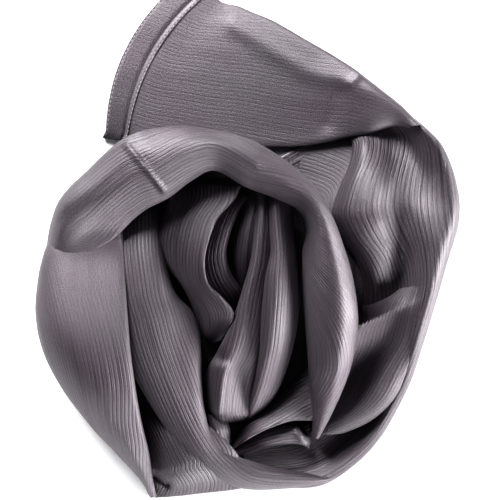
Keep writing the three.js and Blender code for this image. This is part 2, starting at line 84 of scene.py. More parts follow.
def drift(rng, u, v, long, short):
    """Smooth uneven relief of about 1: random heights on knots long apart along u and short apart along v,
    blended by cubic B-splines both ways."""
    cells = [int(np.ptp(x) / step) + 2 for x, step in ((u, long), (v, short))]
    heights = rng.normal(0, 1.6, (cells[0] + 3, cells[1] + 3))
    return bells(u - u.min(), long, cells[0]) @ heights @ bells(v - v.min(), short, cells[1]).T


def blend_rows(rows, share, soft=False):
    """A table's rows at each share, 0 to 1, of its run: a Catmull-Rom curve through them, or with soft a cubic
    B-spline, which only comes near them."""
    last = len(rows) - 1
    place = np.clip(share, 0, 1) * last
    i = np.minimum(place.astype(int), last - 1)
    t = (place - i)[:, None]
    a, b, c, d = (rows[np.clip(i + k, 0, last)] for k in (-1, 0, 1, 2))
    if soft:
        near = (3 * t**3 - 6 * t**2 + 4) * b + (1 + 3 * t + 3 * t**2 - 3 * t**3) * c
        return ((1 - t) ** 3 * a + near + t**3 * d) / 6
    return 0.5 * (2 * b + (c - a) * t + (2 * a - 5 * b + 4 * c - d) * t**2 + (3 * b - a - 3 * c + d) * t**3)


def grid_mesh(name, points, weave, groove, ribbed=0.6, wrap=False):
    """A mesh of quads over a grid of points in millimetres, rows by columns, facing the side that row x column
    turns to by the right hand. weave is each point's place on the cloth, along and across its ribs in metres,
    groove its depth in a rib's groove, 0 to 1, which the satin paints as shade, and ribbed how plain the ribs
    are, 0 where they are stretched flat. With wrap the last column is joined to the first."""
    rows, columns = points.shape[:2]
    index = np.arange(rows * columns).reshape(rows, columns)
    if wrap:
        index = np.hstack([index, index[:, :1]])
    quads = np.stack([index[:-1, :-1], index[:-1, 1:], index[1:, 1:], index[1:, :-1]], -1).reshape(-1, 4)
    mesh = bpy.data.meshes.new(name)
    mesh.vertices.add(rows * columns)
    mesh.vertices.foreach_set("co", (points * MM).astype(np.float32).ravel())
    mesh.loops.add(quads.size)
    mesh.loops.foreach_set("vertex_index", quads.astype(np.int32).ravel())
    mesh.polygons.add(len(quads))
    mesh.polygons.foreach_set("loop_start", np.arange(0, quads.size, 4, dtype=np.int32))
    mesh.polygons.foreach_set("use_smooth", np.ones(len(quads), bool))
    mesh.update(calc_edges=True)
    uv = mesh.uv_layers.new(name="weave")
    places = weave.reshape(-1, 2)[quads.ravel()]
    if wrap:
        girth = 2 * weave[:, -1, 0].max() - weave[:, -2, 0].max()
        ends = (np.arange(len(quads)) % columns == columns - 1)[:, None] & np.array([False, True, True, False])
        places[ends.ravel(), 0] = girth
    uv.data.foreach_set("uv", places.astype(np.float32).ravel())
    for kind, values in (("groove", groove), ("ribbed", np.full(groove.shape, ribbed))):
        layer = mesh.attributes.new(kind, "FLOAT", "POINT")
        layer.data.foreach_set("value", values.astype(np.float32).ravel())
    piece = bpy.data.objects.new(name, mesh)
    bpy.context.collection.objects.link(piece)
    return piece


def node_tree(name):
    """A new material, its shader, and a function that adds a node: its type, its settings by name, and its
    inputs by number or name, each a value or another node's output."""
    material = bpy.data.materials.new(name)
    material.use_nodes = True
    tree = material.node_tree

    def add(kind, inputs=(), **settings):
        node = tree.nodes.new("ShaderNode" + kind)
        for key, value in settings.items():
            setattr(node, key, value)
        for key, value in dict(inputs).items():
            if isinstance(value, bpy.types.NodeSocket):
                tree.links.new(value, node.inputs[key])
            else:
                node.inputs[key].default_value = value
        return node

    return material, tree.nodes["Principled BSDF"], tree, add


# Linear colours: the yarn on the face of a rib, the painted shade in the groove beside it, and the warmer yarn
# that shows in places.
RIB_FACE = (0.082, 0.069, 0.081, 1)
RIB_GROOVE_SHADE = (0.027, 0.020, 0.027, 1)
RIB_WARM = (0.079, 0.060, 0.077, 1)
# The wave texture's scale for a rib each 2.8 mm, and the fine grooves' scales along and across the cloth.
RIB_WAVES = 2 * np.pi / 20 / 0.0028
FINE_RIBS = (5, 800, 1)
YARN_SCALE = 1500.0


def crinkle_satin(name):
    """Crinkle satin: a purple-grey yarn with a soft gloss. A wandering wave across v gives the grooves between
    the ribs, a noise that is stretched along u and folded about its middle value gives fainter ones within them,
    and a fine noise gives the crepe yarn's grain. The grooves and the groove attribute also darken the colour as
    painted shade."""
    material, shader, tree, add = node_tree(name)
    place = add("UVMap", uv_map="weave").outputs["UV"]

    def grooves(scale, width):
        spread = add("Mapping", {0: place, "Scale": scale}).outputs[0]
        value = add("TexNoise", {0: spread, "Scale": 1.0, "Detail": 0.0}).outputs["Fac"]
        middle = add("Math", {0: value, 1: 0.5}, operation="SUBTRACT").outputs[0]
        away = add("Math", {0: middle}, operation="ABSOLUTE").outputs[0]
        line = add("MapRange", {0: away, 1: 0.0, 2: width, 3: 1.0, 4: 0.0}, interpolation_type="SMOOTHSTEP")
        return line.outputs[0]

    slow = add("Mapping", {0: place, "Scale": (0.08, 1, 1)}).outputs[0]
    wander = {"Distortion": 2.2, "Detail": 1.0, "Detail Scale": 0.5}
    waves = add("TexWave", {0: slow, "Scale": RIB_WAVES, **wander}, bands_direction="Y").outputs["Fac"]
    to_groove = {1: 0.0, 2: 0.55, 3: 1.0, 4: 0.0}
    coarse = add("MapRange", {0: waves, **to_groove}, interpolation_type="SMOOTHSTEP").outputs[0]
    fine = grooves(FINE_RIBS, 0.10)
    grain = add("TexNoise", {0: place, "Scale": YARN_SCALE, "Detail": 1.0, "Roughness": 0.6}).outputs["Fac"]
    cloud = add("TexNoise", {0: place, "Scale": 16.0, "Detail": 1.0}).outputs["Fac"]
    groove = add("Attribute", attribute_name="groove").outputs["Fac"]
    ribbed = add("Attribute", attribute_name="ribbed").outputs["Fac"]

    warm = add("MapRange", {0: cloud, 1: 0.42, 2: 0.62, 3: 0.0, 4: 0.8}).outputs[0]
    face = add("Mix", {0: warm, 6: RIB_FACE, 7: RIB_WARM}, data_type="RGBA").outputs[2]
    lines = add("Math", {0: fine, 1: 0.5, 2: coarse}, operation="MULTIPLY_ADD").outputs[0]
    both = add("Math", {0: lines, 1: ribbed}, operation="MULTIPLY").outputs[0]
    # Painted shade: the base colour darkens towards the groove shade colour along the rib lines and where the
    # groove attribute is deep.
    shade = add("Math", {0: both, 1: 0.6, 2: groove}, operation="MULTIPLY_ADD", use_clamp=True).outputs[0]
    base = add("Mix", {0: shade, 6: face, 7: RIB_GROOVE_SHADE}, data_type="RGBA").outputs[2]
    speck = add("MapRange", {0: grain, 1: 0.35, 2: 0.65, 3: 0.3, 4: 1.7}).outputs[0]
    lit = add("VectorMath", {0: base, "Scale": speck}, operation="SCALE").outputs[0]
    tree.links.new(lit, shader.inputs["Base Color"])
    dull = add("MapRange", {0: grain, 1: 0.3, 2: 0.7, 3: 0.45, 4: 0.59}).outputs[0]
    tree.links.new(dull, shader.inputs["Roughness"])

    ribs = add("Bump", {"Height": both, "Distance": 0.0003, "Strength": 0.9}, invert=True)
    yarn = add("Bump", {"Height": grain, "Distance": 0.0003, "Strength": 0.9, "Normal": ribs.outputs[0]})
    tree.links.new(yarn.outputs[0], shader.inputs["Normal"])
    tangent = add("Tangent", direction_type="UV_MAP", uv_map="weave").outputs[0]
    tree.links.new(tangent, shader.inputs["Tangent"])
    shader.inputs["Metallic"].default_value = 0.3
    shader.inputs["IOR"].default_value = 1.65
    brushed = add("Math", {0: ribbed, 1: 0.35}, operation="MULTIPLY").outputs[0]
    tree.links.new(brushed, shader.inputs["Anisotropic"])
    shader.inputs["Anisotropic Rotation"].default_value = 0.25
    shader.inputs["Specular IOR Level"].default_value = 1.0
    shader.inputs["Sheen Weight"].default_value = 0.04
    return material


satin = crinkle_satin("crinkle_satin")


def finish_cloth(piece, nodes, thick=0.6):
    """Gives a sheet its thickness inwards and its satin, hides the parts of model.glb that it stands for, and
    hangs it under the root body.
    """
    if thick:
        wall = piece.modifiers.new("cloth", "SOLIDIFY")
        wall.thickness = thick * MM
        wall.offset = -1
    piece.data.materials.append(satin)
    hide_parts(*nodes)
    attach(piece, "root")


def rim_points(share, bearing):
    """The rim's skin: for each share, 0 at the table to 1 at the middle of the top, a ring at the reach of each
    bearing, set in by a scallop for each ply on the way up and then drawn in to the centre."""
    reach = blend_rows(np.array([[r] for r in RIM_REACH + RIM_REACH[:1]], float), bearing / (2 * np.pi))[:, 0]
    up = np.clip(share / RIM_UP, 0, 1)[:, None]
    across = np.clip((share - RIM_UP) / (1 - RIM_UP), 0, 1)[:, None]
    ply = up * RIM_PLIES + RIM_WAVER * np.sin(3 * bearing)[None, :]
    bulge = RIM_BULGE * np.sqrt(np.abs(np.sin(np.pi * ply)))
    reach = reach[None, :] - RIM_INSET - RIM_STEP_IN * up * RIM_PLIES + bulge
    reach = reach * (1 - across) + RIM_HOLE * across
    z = RIM_TOP * up + 0 * reach
    return np.dstack([RIM_CENTRE[0] + reach * np.cos(bearing), RIM_CENTRE[1] + reach * np.sin(bearing), z])


rim_share = np.linspace(0.0, 1.0, RIM_RINGS)
rim_bearing = np.linspace(0, 2 * np.pi, RIM_AROUND, endpoint=False)
rim = rim_points(rim_share, rim_bearing) + LAYOUT_SHIFT
rim_along, rim_up = rim_bearing[None, :] * RIM_WEAVE[0], rim_share[:, None] * RIM_WEAVE[1]
rim_weave = np.dstack(np.broadcast_arrays(rim_along, rim_up))
rim_piece = grid_mesh("inner_turns", rim[::-1], rim_weave[::-1], 0 * rim[::-1, :, 0], wrap=True)
finish_cloth(rim_piece, ["hidden_layers"], thick=0)

# -------------------------------------------------------------------------
# Back layer: a flat turn of the rope that shows between the crown, the tail and the right turn.
# One ply of satin, laid over the hidden layers, with its ribs across the gap.
# -------------------------------------------------------------------------
ARCH_SAMPLES = 220
EDGE_SAMPLES = 14
CURL = 5.0  # how far an edge rolls back under itself
CURL_SHARE = 0.35  # the same on a narrow stretch, as a share of half its width
COLUMN_STEP = 0.6
ROW_STEP = 2.0
RELIEF_STEP = 0.3
RIB_PITCH = 9.0
RIB_FADE = 22  # run over which a groove's depth changes
GATHER_RUN = 60  # length of the small gathers and the broad swells, and their widths
GATHER_PITCH = 5
SWELL_PITCH = 20
PLAIN_EDGE = 4.0  # strip along each edge where the gathers fade out
WEAVE_APART = 0.2  # metres between the places of two stretches on the cloth


def line_distance(x, y, line):
    """Distance in plan from each point to a chain of straight pieces."""
    nearest = np.full(x.shape, np.inf)
    for (ax, ay), (bx, by) in zip(line[:-1], line[1:]):
        t = ((x - ax) * (bx - ax) + (y - ay) * (by - ay)) / ((bx - ax) ** 2 + (by - ay) ** 2)
        t = np.clip(t, 0, 1)
        nearest = np.minimum(nearest, np.hypot(x - ax - t * (bx - ax), y - ay - t * (by - ay)))
    return nearest


def bowed(skin, share, bow):
    """The skin with the start of its run bent outwards: each point moves square to its row by bow times
    1 - across^2, from -1 to 1 across, fading to nothing at the middle of the run."""
    ends = skin[:, [0, -1], :2]
    chord = ends[:, 1] - ends[:, 0]
    size = (chord**2).sum(axis=1)[:, None]
    along = ((skin[:, :, :2] - ends[:, :1]) * chord[:, None]).sum(axis=2) / size
    out = bow * np.clip(1 - (2 * along - 1) ** 2, 0, 1) * np.maximum(0, 1 - 2 * share)[:, None]
    square = np.stack([chord[:, 1], -chord[:, 0]], -1) / np.sqrt(size)
    skin[:, :, :2] += out[:, :, None] * square[:, None]
    return skin


def profile_skin(rows, share):
    """The skin before its ribs. Nine heights lie across each row, at shares (1 - cos(pi k / 8)) / 2 of the way
    from the first edge to the second, joined by a Catmull-Rom curve, and each edge rolls back to its foot round
    a quarter ellipse. Along the run the edges are blended by a Catmull-Rom curve, the heights by B-splines."""
    table = blend_rows(rows, share)
    x0, y0, x1, y1, foot0, foot1 = table[:, :6].T[:, :, None]
    heights = blend_rows(rows[:, 6:], share, soft=True)
    half = np.hypot(x1 - x0, y1 - y0) / 2
    turn = np.linspace(0, 1, ARCH_SAMPLES)
    z = blend_rows(np.ascontiguousarray(heights.T), turn).T
    across = np.broadcast_to(-np.cos(np.pi * turn)[None, :], z.shape)
    curl = np.minimum(CURL, CURL_SHARE * half) / half
    down = np.linspace(np.pi / 2, 0, EDGE_SAMPLES, endpoint=False)[None, :]
    parts = []
    for side, foot, edge in ((-1, foot0, z[:, :1]), (1, foot1, z[:, -1:])):
        foot = np.clip(foot, 0, edge - 1)
        angle = down if side < 0 else down[:, ::-1]
        parts.append((side * (1 - curl * (1 - np.cos(angle))), edge - (edge - foot) * np.sin(angle)))
    across = np.hstack([parts[0][0], across, parts[1][0]])
    z = np.hstack([parts[0][1], z, parts[1][1]])
    x = (x0 + x1) / 2 + across * (x1 - x0) / 2
    y = (y0 + y1) / 2 + across * (y1 - y0) / 2
    return np.dstack([x, y, z])


def normals_of(skin):
    """Unit normals of a grid of points, by the step across it times the step along it."""
    across, run = np.gradient(skin, axis=1), np.gradient(skin, axis=0)
    normal = np.cross(across, run)
    return normal / np.maximum(np.linalg.norm(normal, axis=2, keepdims=True), 1e-9)


def even_columns(skin, columns):
    """The same rows with their points moved along them to lie evenly, and each row's length."""
    steps = np.linalg.norm(np.diff(skin, axis=1), axis=2)
    reach = np.hstack([np.zeros((len(skin), 1)), np.cumsum(steps, axis=1)])
    wanted = np.linspace(0, 1, columns)
    rows = [
        np.stack([np.interp(wanted * at[-1], at, row[:, k]) for k in range(3)], -1)
        for at, row in zip(reach, skin)
    ]
    return np.stack(rows), reach[:, -1]


def rib_relief(rng, u, v, pitch, depth):
    """Uneven grooves along the cloth: each a bell of its own width and depth, at steps of 0.55 to 1.6 pitches,
    fading in and out along the run. Returns the depth in millimetres and the share, 0 to 1, of a full
    groove."""
    at = np.cumsum(rng.uniform(0.55, 1.6, int(np.ptp(v) / pitch) + 4) * pitch) + v.min() - pitch
    width = rng.uniform(0.32, 0.62, len(at))
    share = rng.uniform(0.35, 1.0, len(at)) ** 1.3
    bell = np.exp(-(((v[:, None] - at[None, :]) / width[None, :]) ** 2))
    cells = int(np.ptp(u) / RIB_FADE) + 2
    drawn = bells(u - u.min(), RIB_FADE, cells) @ rng.normal(0, 1.2, (cells + 3, len(at)))
    dip = (np.clip(0.75 + 0.5 * drawn, 0.1, 1.2) * share) @ bell.T
    return depth * dip, np.clip(dip, 0, 1)


def stretch(
    name, rows, seed, creases=(), bow=0, anchor=(0.5,), rib=0.2, gather=0.1, swell=0.3, ribbed=0.9, fade=(0, 0)
):
    """One stretch of the scarf, a sheet on the skin of its rows, with each crease's bell added to its height.
    Its ribs keep their distance from a line that lies anchor of the way across, at even steps along the run, or
    with no anchor their share of the way across. gather is the height of small uneven gathers along the cloth,
    swell of broad ones, rib the depth of its deepest grooves, ribbed how plain the ribs are and fade the lengths
    over which they start and end. bow is how far its start is bent outwards."""
    rng = np.random.default_rng(seed)
    rows = np.array(rows, float)
    middles = (rows[:, :2] + rows[:, 2:4]) / 2
    length = np.linalg.norm(np.diff(middles, axis=0), axis=1).sum()
    share = np.linspace(0, 1, int(length / ROW_STEP) + 2)
    skin = bowed(profile_skin(rows, share), share, bow)
    for width, lift, line in creases:
        near = line_distance(skin[:, :, 0], skin[:, :, 1], line) / width
        skin[:, :, 2] += lift * np.exp(-(near**2))
    girth = np.linalg.norm(np.diff(skin, axis=1), axis=2).sum(axis=1).mean()
    skin, girths = even_columns(skin, int(girth / COLUMN_STEP))
    u = np.concatenate([[0], np.cumsum(np.linalg.norm(np.diff(skin.mean(axis=1), axis=0), axis=1))])
    across = np.linspace(0, 1, skin.shape[1])[None, :]
    held = np.interp(share, np.linspace(0, 1, len(anchor)), anchor)[:, None] if anchor else 0.5
    v = (across - held) * (girths if anchor else np.full_like(girths, girth))[:, None]
    line = np.arange(v.min() - 1, v.max() + 1, RELIEF_STEP)
    tight = np.clip(girths / girth, 0.15, 1.0)[:, None]

    def on_cloth(relief):
        return np.stack([np.interp(places, line, row) for places, row in zip(v, relief)])

    gathers = gather * drift(rng, u, line, GATHER_RUN, GATHER_PITCH)
    lift = on_cloth(gathers + swell * drift(rng, u, line, GATHER_RUN, SWELL_PITCH)) * tight
    # groove is the share of a full groove; the satin darkens the colour by it, as painted shade in the grooves.
    dip, groove = (on_cloth(relief) for relief in rib_relief(rng, u, line, RIB_PITCH, rib))
    ends = (np.clip(u / (fade[0] + 0.1), 0, 1) * np.clip((u[-1] - u) / (fade[1] + 0.1), 0, 1)) ** 2
    lift, groove = lift - dip * ends[:, None], groove * ends[:, None]
    edge = np.clip((0.5 - np.abs(across - 0.5)) * girths[:, None] / PLAIN_EDGE, 0, 1)
    points = skin + normals_of(skin) * (lift * edge)[:, :, None]
    points[:, :, 2] = np.maximum(points[:, :, 2], 0)
    weave = np.dstack(np.broadcast_arrays(u[:, None] * MM, v * MM + WEAVE_APART * seed))
    plain = ribbed * np.broadcast_to(ends[:, None], v.shape)
    return grid_mesh(name, points + LAYOUT_SHIFT, weave, ribbed * groove, plain)
# Columns, in millimetres: x0, y0 of the first edge, x1, y1 of the second, the feet foot0 and foot1 that the
# edges roll back to, and nine heights across.
BACK_LAYER_ROWS = [
    [8.6, 79.9, 4.3, 72.7, 2, 4, 3.4, 4.4, 5.2, 5.8, 6, 5.9, 5.6, 5.2, 4.7],
    [35.6, 87, 24.2, 59.8, 2, 7, 4.1, 5.6, 6.9, 7.7, 8, 8, 7.8, 7.6, 7.3],
    [68.4, 89.8, 38.4, 44.1, 3, 9, 5.6, 7.5, 9.1, 10.1, 10.5, 10.4, 10.2, 9.9, 9.5],
    [95.2, 82.4, 48.2, 30.5, 8, 13, 10.4, 12.2, 13.7, 14.7, 15, 14.9, 14.6, 14.2, 13.7],
    [79.4, 52.5, 53.9, 21.3, 13, 14, 15.1, 16.6, 17.9, 18.7, 19, 18.8, 18, 17, 15.8],
    [68.1, 31.2, 58.1, 15.6, 14, 14, 15.4, 16.4, 17.2, 17.8, 18, 17.8, 17.2, 16.4, 15.4],
]
back_layer_piece = stretch("back_turn", BACK_LAYER_ROWS, seed=1, ribbed=0.3, rib=0.05)
finish_cloth(back_layer_piece, ["back_layer"])

# -------------------------------------------------------------------------
# Low left turn: the cloth under the left-hand turns, which comes out at the front as a corner.
# Satin laid over the hidden layers, rising to meet the left inner turn.
# -------------------------------------------------------------------------
# Columns: x0, y0, x1, y1, foot0, foot1, nine heights.
BOTTOM_LEFT_ROWS = [
    [-90.9, -71, -71, -71, 8, 8, 11, 11, 11, 11, 11, 11, 11, 11, 11],
    [-88.1, -92.4, -58, -90.6, 8, 8, 11, 11, 11, 12, 13, 15, 17, 18, 18],
    [-85.2, -113.6, -42.3, -107.2, 8, 8, 12, 12, 13, 15, 18, 22, 24, 25, 25],
    [-80.9, -132.1, -30.9, -122.2, 8, 8, 12, 13, 17, 24, 31, 34, 35, 34, 33],
    [-75.9, -147.6, -18.3, -133.5, 6, 8, 13, 15, 20, 28, 33.5, 35, 34.5, 33, 32],
    [-71.9, -160.8, -8.4, -145, 2, 4, 8, 13, 20, 28, 32, 33, 32, 30, 29],
    [-68.5, -169.8, -4.2, -158.2, 0, 0, 3, 6, 13, 20, 24, 26, 26, 24.5, 23],
    [-67.1, -176.4, -4.3, -168.6, 0, 0, 1, 2, 4, 6, 8, 9, 9, 8.5, 8],
]
# Columns: width, lift, line.
BOTTOM_LEFT_CREASES = [
    (3, -5, [(-68, -160), (-58.8, -165.7)]),
]
bottom_left_piece = stretch("low_left_turn", BOTTOM_LEFT_ROWS, creases=BOTTOM_LEFT_CREASES, seed=2)
finish_cloth(bottom_left_piece, ["bottom_left"])

# -------------------------------------------------------------------------
# Right turn: the rope's outer turn, from under the tail down the right side and round the front.
# Gathered satin with two soft ridges and a valley; its rim stands on the table, the rest on the hidden layers.
# -------------------------------------------------------------------------
# Columns: x0, y0, x1, y1, foot0, foot1, nine heights.
RIGHT_TURN_ROWS = [
    [67.4, 85.1, 105.1, 98.7, 14, 0, 14, 14, 15, 16, 18, 20, 24, 24, 12],
    [70.2, 79.4, 115.6, 92.9, 14, 0, 14, 15, 17, 18, 18, 20, 30, 32, 14],
    [73, 73, 126.2, 83.7, 14, 0, 15, 19, 25, 22, 18, 20, 32, 37, 15],
    [70.2, 59.5, 135.4, 73.7, 14, 0, 16, 22, 32, 29, 21, 22, 36, 39, 15],
    [63.1, 43.2, 142.5, 58.8, 14, 0, 15, 22, 36, 38, 29, 26, 34, 37, 15],
    [57.4, 24.8, 146.8, 42.5, 14, 0, 15, 22, 37, 40, 30, 31, 36, 37, 15],
    [61, 13.5, 148.2, 29.8, 14, 0, 15, 22, 37, 40, 28, 36, 38, 36, 15],
    [67.4, 4.3, 146.8, 15.6, 14, 0, 15, 21, 35, 36, 27, 38, 41, 34, 15],
    [74.4, -5, 143.2, 3.5, 14, 0, 15, 19, 31, 33, 24, 37, 42, 34, 15],
    [79.4, -18.4, 138.3, -11.3, 14, 0, 15, 17, 25, 25, 20, 34, 42, 35, 15],
    [80.9, -34.8, 133.3, -28.4, 14, 0, 14, 15, 17, 17, 18, 31, 41, 35, 15],
    [76.6, -56.7, 127.6, -46.8, 14, 0, 14, 14, 15, 16, 18, 29, 39, 34, 15],
    [72.4, -75.2, 121.3, -67.4, 14, 0, 14, 14, 15, 16, 18, 25, 38, 34, 14],
    [67.4, -88, 114.3, -90.2, 14, 0, 14, 14, 15, 16, 17, 21, 30, 27, 12],
    [60.3, -103.6, 105.2, -110.2, 14, 0, 14, 14, 14, 15, 16, 19, 26, 24, 10],
    [51.1, -114.9, 91.7, -133.7, 14, 0, 14, 14, 14, 14, 15, 17, 25, 22, 9],
    [39, -124.8, 74, -152.3, 14, 0, 14, 14, 14, 14, 14, 16, 24, 21, 8],
    [24.8, -131.9, 51.2, -166.5, 14, 0, 14, 14, 14, 14, 14, 15, 22, 20, 8],
    [8.5, -136.2, 25.6, -168.7, 14, 0, 14, 14, 14, 14, 14, 15, 19, 17, 7],
    [-7.1, -140.5, 4.3, -168.1, 14, 0, 14, 14, 14, 14, 14, 14, 16, 14, 6],
]
right_turn_piece = stretch("right_turn", RIGHT_TURN_ROWS, seed=3, anchor=())
finish_cloth(right_turn_piece, ["right_slope", "upper_right"])

# -------------------------------------------------------------------------
# Tail: the scarf's end, laid out flat to the back left and rising to the right where it joins the rope.
# One ply of satin, with the stitched hem at its start.
# -------------------------------------------------------------------------
# Columns: x0, y0, x1, y1, foot0, foot1, nine heights.
TAIL_END_ROWS = [
    [-49.3, 194.2, -104.9, 80.6, 0, 0, 1.5, 3, 3, 3, 3, 4, 5, 5, 2],
    [-34.2, 186.7, -92, 78.4, 0, 0, 5.1, 5.8, 6, 5.8, 5.2, 4.5, 4.1, 3.9, 3.6],
    [-19.9, 176.6, -79.1, 77, 0, 0, 6.8, 7.8, 8, 7.7, 6.9, 6, 5.4, 5.2, 4.8],
    [-8.5, 173.6, -58.4, 75.5, 0, 2, 8.5, 9.7, 10, 9.6, 8.6, 7.5, 6.8, 6.5, 6],
    [1.4, 169.2, -35.6, 74, 0, 4, 10.2, 11.6, 12, 11.5, 10.3, 9, 8.2, 7.8, 7.2],
    [15.6, 163.3, -12.8, 74, 0, 8, 12.3, 14.1, 14.5, 13.9, 12.5, 10.9, 9.9, 9.4, 8.7],
    [28.4, 156, 8.5, 73.2, 0, 14, 14.4, 16.5, 17, 16.3, 14.6, 12.8, 11.6, 11.1, 10.2],
    [40.4, 148.8, 24.9, 73.1, 0, 18, 16.6, 18.9, 19.5, 18.7, 16.8, 14.6, 13.3, 12.7, 11.7],
    [53.1, 141.5, 39.7, 73.8, 0, 22, 18.7, 21.3, 22, 21.1, 18.9, 16.5, 15, 14.3, 13.2],
    [63.6, 135, 54.6, 75.9, 0, 24, 20.9, 24, 25, 24.2, 22.2, 19.8, 18.1, 16.9, 15],
    [73.4, 128.5, 68, 78.6, 0, 26, 23.1, 26.6, 28, 27.4, 25.6, 23.4, 21.4, 19.7, 16.8],
    [82.5, 121.3, 77.8, 80.7, 0, 28, 25.2, 29.1, 31, 30.7, 29.2, 27.2, 25, 22.7, 18.6],
    [92.3, 113.5, 87.7, 82.8, 0, 29, 26.4, 30.7, 33, 33, 32, 30.4, 28.1, 25.1, 19.8],
    [107.8, 100.8, 101.8, 87, 0, 24, 27.2, 31.6, 34, 34, 33, 31.3, 28.9, 25.8, 20.4],
    [120.2, 88.4, 111.8, 85.8, 2, 33, 20.5, 30.2, 37.2, 39.7, 40, 39.3, 36.8, 33.8, 31.5],
]
TAIL_BOW = 13.0
# Columns: width, lift, line.
TAIL_END_CREASES = [
    (7, 1.6, [(-10.6, 159), (15.5, 142.1), (39.4, 126.6), (70.4, 116.8), (88, 109.8), (105.5, 99.9)]),
    (3, 1.6, [(71, 117.3), (79.4, 125.8)]),
    (7, -1.8, [(61, 111.5), (54.7, 89.8)]),
]
tail_end_piece = stretch(
    "tail", TAIL_END_ROWS, creases=TAIL_END_CREASES, seed=5, bow=TAIL_BOW, rib=0.05, gather=0.04, swell=0.25,
    ribbed=0.15,
)

# -------------------------------------------------------------------------
# Hem: the tail's end turned under twice and stitched down in two rows, along its fold and along its edge.
# The turned cloth is a strip of the tail's own surface, raised; the stitches are short ovals of light thread.
# -------------------------------------------------------------------------
HEM_WIDTH = 18.0
HEM_RISE = 1.3
HEM_GROOVE = 3.2  # distance of the groove from the stitched edge
HEM_TURN = 1.2  # reach of the round fold at the end
HEM_TUCK = 0.4  # how far the fold's own edge lies under the cloth
HEM_WALL = 0.5
HEM_ROWS = 72
HEM_COLUMNS = 260
HEM_WEAVE = (3.1, 0.052)  # its middle on the cloth and the reach to each side, in metres
STITCH = np.array([1.25, 0.42, 0.38])  # half its length, width and height
STITCH_PITCH = 3.3
STITCH_ROWS = (1.9, 17.3)
STITCH_MARGIN = 2.0
STITCH_OVER = 0.1
THREAD_DARK = (0.20, 0.18, 0.20, 1)
THREAD_LIGHT = (0.34, 0.31, 0.34, 1)


def tail_surface(reach, columns):
    """The tail's skin without its rolled edges, at distances in millimetres from its end, and its normals."""
    rows = np.array(TAIL_END_ROWS, float)
    run = np.linalg.norm(np.diff((rows[:, :2] + rows[:, 2:4]) / 2, axis=0), axis=1).sum()
    share = np.maximum(reach, 0) / run
    skin = bowed(profile_skin(rows, share), share, TAIL_BOW)[:, EDGE_SAMPLES:-EDGE_SAMPLES]
    skin = even_columns(skin, columns)[0]
    return skin, normals_of(skin)


def hem_height(reach):
    """Height of the turned hem over the cloth: a quarter round up from the fold, a soft swell, a groove before
    the stitched edge and a short step down past it."""
    up = np.sqrt(np.clip(1 - (1 - np.clip(reach / HEM_TURN, 0, 1)) ** 2, 0, 1))
    groove = 0.55 * np.exp(-(((reach - HEM_WIDTH + HEM_GROOVE) / 1.5) ** 2))
    groove += 0.2 * np.exp(-(((reach - 2) / 0.7) ** 2))
    end = np.clip(HEM_WIDTH - reach, 0, 1)
    return HEM_RISE * up * (1 - groove) * (0.35 + 0.65 * end)


hem_reach = np.linspace(0, HEM_WIDTH, HEM_ROWS)
hem_skin, hem_normal = tail_surface(hem_reach, HEM_COLUMNS)
hem_waves = 0.1 * drift(np.random.default_rng(31), hem_reach, np.arange(HEM_COLUMNS) * 0.4, 9, 7)
hem_lift = hem_height(hem_reach)[:, None] + hem_waves
hem_points = hem_skin + hem_normal * hem_lift[:, :, None]
hem_points[0] = hem_skin[0] - hem_normal[0] * HEM_TUCK
hem_across = np.linspace(-HEM_WEAVE[1], HEM_WEAVE[1], HEM_COLUMNS)[None, :] + HEM_WEAVE[0]
hem_weave = np.dstack(np.broadcast_arrays(hem_reach[:, None] * MM, hem_across))
# Painted shade: the hem's colour darkens along its groove before the stitched edge.
hem_groove_shade = 0.5 * np.exp(-(((hem_reach - HEM_WIDTH + HEM_GROOVE) / 1.2) ** 2))[:, None] + 0 * hem_lift
hem = grid_mesh("hem", hem_points + LAYOUT_SHIFT, hem_weave, 0.4 * hem_groove_shade, ribbed=0.08)
wall = hem.modifiers.new("cloth", "SOLIDIFY")
wall.thickness = HEM_WALL * MM
wall.offset = -1
hem.data.materials.append(satin)
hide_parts("tail_hem")


def oval_stitches(name, centres, along, up):
    """Joined ovals, one for each centre: round rings across the stitch, drawn in towards both ends, so that a
    point is centre + along cos(t) + (side cos(r) + up sin(r)) sin(t), each times that axis's half size."""
    t = np.linspace(0, np.pi, 9)[:, None]
    r = np.linspace(0, 2 * np.pi, 8, endpoint=False)[None, :]
    side = np.cross(up, along)
    shape = np.stack([np.cos(t) + 0 * r, np.sin(t) * np.cos(r), np.sin(t) * np.sin(r)], -1) * STITCH
    axes = np.stack([along, side, up], 1)
    points = centres[:, None, None, :] + np.einsum("trk,skx->strx", shape, axes)
    count, rings, round_ = points.shape[:3]
    index = np.arange(count * rings * round_).reshape(count, rings, round_)
    index = np.concatenate([index, index[:, :, :1]], axis=2)
    quads = np.stack([index[:, :-1, :-1], index[:, 1:, :-1], index[:, 1:, 1:], index[:, :-1, 1:]], -1)
    quads = quads.reshape(-1, 4)
    mesh = bpy.data.meshes.new(name)
    mesh.from_pydata((points.reshape(-1, 3) * MM).tolist(), [], quads.tolist())
    piece = bpy.data.objects.new(name, mesh)
    bpy.context.collection.objects.link(piece)
    join = bmesh.new()
    join.from_mesh(mesh)
    bmesh.ops.remove_doubles(join, verts=join.verts, dist=1e-6)
    bmesh.ops.recalc_face_normals(join, faces=join.faces)
    join.to_mesh(mesh)
    join.free()
    mesh.shade_smooth()
    return piece


